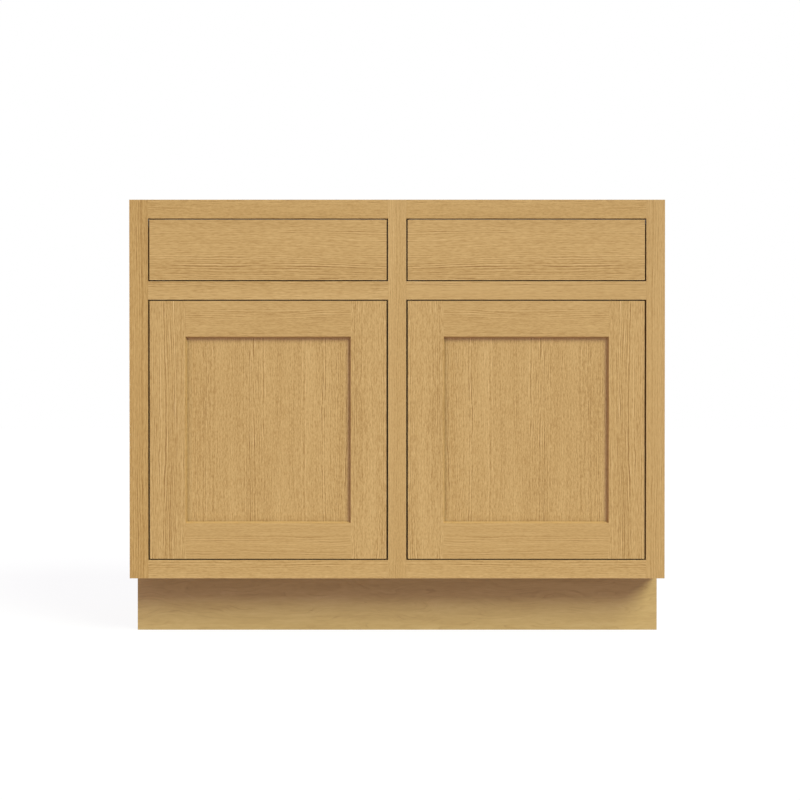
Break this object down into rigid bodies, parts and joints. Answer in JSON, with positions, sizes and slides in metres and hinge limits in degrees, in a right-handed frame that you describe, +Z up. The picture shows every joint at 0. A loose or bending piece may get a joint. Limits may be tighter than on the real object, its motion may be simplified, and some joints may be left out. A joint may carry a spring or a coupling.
{
  "type": "vanity base cabinet",
  "caption": "Oak face-frame vanity base cabinet with inset drawers above inset shaker doors on a recessed toe kick, open top for a countertop",
  "frame": {"origin": "on the floor under the middle of the cabinet", "axes": "+Z up, the front faces -Y, +X towards the right-hand door as seen from the front"},
  "size_m": [1.0668, 0.5334, 0.869],
  "materials": {
    "oak": "clear satin natural oak",
    "maple": "clear satin maple",
    "box_plywood": "clear satin birch plywood",
    "block_wood": "planed bare softwood",
    "hinge_nickel": "nickel plated",
    "runner_zinc": "zinc plated",
    "screw_steel": "zinc plated",
    "clip_plastic": "grey moulded plastic"
  },
  "bodies": {
    "cabinet": {"side_panel_left": "box_plywood", "side_panel_right": "box_plywood", "bottom_panel": "box_plywood", "back_panel": "box_plywood", "toe_kick_board": "maple", "toe_kick_support": "box_plywood", "face_stile_left": "oak", "face_stile_centre": "oak", "face_stile_right": "oak", "face_top_rail_left": "oak", "face_top_rail_right": "oak", "face_mid_rail_left": "oak", "face_mid_rail_right": "oak", "face_bottom_rail_left": "oak", "face_bottom_rail_right": "oak", "corner_blocks": "block_wood", "stop_blocks": "block_wood", "hinge_build_out_left": "block_wood", "hinge_build_out_right": "block_wood", "runner_block_left": "block_wood", "runner_block_centre": "block_wood", "runner_block_right": "block_wood", "hinge_plates": "hinge_nickel", "hinge_arms": "hinge_nickel", "fixed_runners": "runner_zinc", "mounting_screws": "screw_steel"},
    "left_door": {"left_door_hinge_stile": "oak", "left_door_lock_stile": "oak", "left_door_top_rail": "oak", "left_door_bottom_rail": "oak", "left_door_panel": "oak", "left_door_hinge_cups": "hinge_nickel", "left_door_cup_screws": "screw_steel"},
    "left_hinge_link": {"left_hinge_links": "hinge_nickel"},
    "left_drawer": {"left_drawer_front": "oak", "left_drawer_box_front": "box_plywood", "left_drawer_box_back": "box_plywood", "left_drawer_side_left": "box_plywood", "left_drawer_side_right": "box_plywood", "left_drawer_bottom": "box_plywood", "left_drawer_runners": "runner_zinc", "left_drawer_clips": "clip_plastic"},
    "left_middle_runner": {"left_middle_runners": "runner_zinc"},
    "right_door": {"right_door_hinge_stile": "oak", "right_door_lock_stile": "oak", "right_door_top_rail": "oak", "right_door_bottom_rail": "oak", "right_door_panel": "oak", "right_door_hinge_cups": "hinge_nickel", "right_door_cup_screws": "screw_steel"},
    "right_hinge_link": {"right_hinge_links": "hinge_nickel"},
    "right_drawer": {"right_drawer_front": "oak", "right_drawer_box_front": "box_plywood", "right_drawer_box_back": "box_plywood", "right_drawer_side_left": "box_plywood", "right_drawer_side_right": "box_plywood", "right_drawer_bottom": "box_plywood", "right_drawer_runners": "runner_zinc", "right_drawer_clips": "clip_plastic"},
    "right_middle_runner": {"right_middle_runners": "runner_zinc"}
  },
  "joints": [
    {"name": "left_door_swing", "type": "hinge", "parent": "cabinet", "child": "left_door", "pos_m": [-0.49205, -0.2702, 0.41055], "axis": [0, 0, -1], "range_deg": [0, 105]},
    {"name": "left_link_swing", "type": "hinge", "parent": "cabinet", "child": "left_hinge_link", "pos_m": [-0.49205, -0.2702, 0.41055], "axis": [0, 0, -1], "range_deg": [0, 63]},
    {"name": "left_drawer_slide", "type": "slide", "parent": "cabinet", "child": "left_drawer", "axis": [0, -1, 0], "range_m": [0, 0.432]},
    {"name": "left_middle_slide", "type": "slide", "parent": "cabinet", "child": "left_middle_runner", "axis": [0, -1, 0], "range_m": [0, 0.216]},
    {"name": "right_door_swing", "type": "hinge", "parent": "cabinet", "child": "right_door", "pos_m": [0.49205, -0.2702, 0.41055], "axis": [0, 0, 1], "range_deg": [0, 105]},
    {"name": "right_link_swing", "type": "hinge", "parent": "cabinet", "child": "right_hinge_link", "pos_m": [0.49205, -0.2702, 0.41055], "axis": [0, 0, 1], "range_deg": [0, 63]},
    {"name": "right_drawer_slide", "type": "slide", "parent": "cabinet", "child": "right_drawer", "axis": [0, -1, 0], "range_m": [0, 0.432]},
    {"name": "right_middle_slide", "type": "slide", "parent": "cabinet", "child": "right_middle_runner", "axis": [0, -1, 0], "range_m": [0, 0.216]}
  ],
  "couplings": [
    {"joint": "left_link_swing", "follows": "left_door_swing", "ratio": 0.6},
    {"joint": "left_middle_slide", "follows": "left_drawer_slide", "ratio": 0.5},
    {"joint": "right_link_swing", "follows": "right_door_swing", "ratio": 0.6},
    {"joint": "right_middle_slide", "follows": "right_drawer_slide", "ratio": 0.5}
  ]
}
